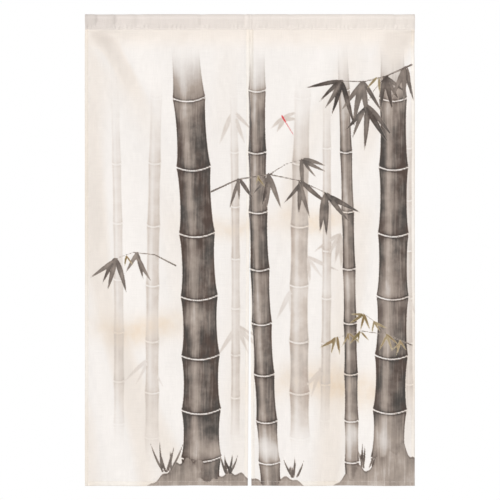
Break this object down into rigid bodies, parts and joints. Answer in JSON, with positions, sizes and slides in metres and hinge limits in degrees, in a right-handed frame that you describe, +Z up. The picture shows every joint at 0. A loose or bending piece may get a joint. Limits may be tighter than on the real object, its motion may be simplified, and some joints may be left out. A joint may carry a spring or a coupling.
{
  "type": "noren curtain",
  "caption": "Split doorway curtain: hemmed cloth panels joined at the top under a sewn rod pocket, hanging in soft folds with a slit between them to walk through.",
  "frame": {"origin": "middle of the top edge of the rod pocket", "axes": "+Z up along the drop, +X to the viewer's right along the top edge, +Y to the back, so the printed front faces -Y"},
  "size_m": [0.8396, 0.022, 1.2001],
  "materials": {
    "printed_cloth": "matt plain weave, cream, with a soft ink print",
    "pocket_cloth": "the same plain weave, doubled, so a little darker"
  },
  "bodies": {
    "root": {"rod_pocket": "pocket_cloth", "panel_left": "printed_cloth", "panel_right": "printed_cloth"}
  },
  "joints": []
}
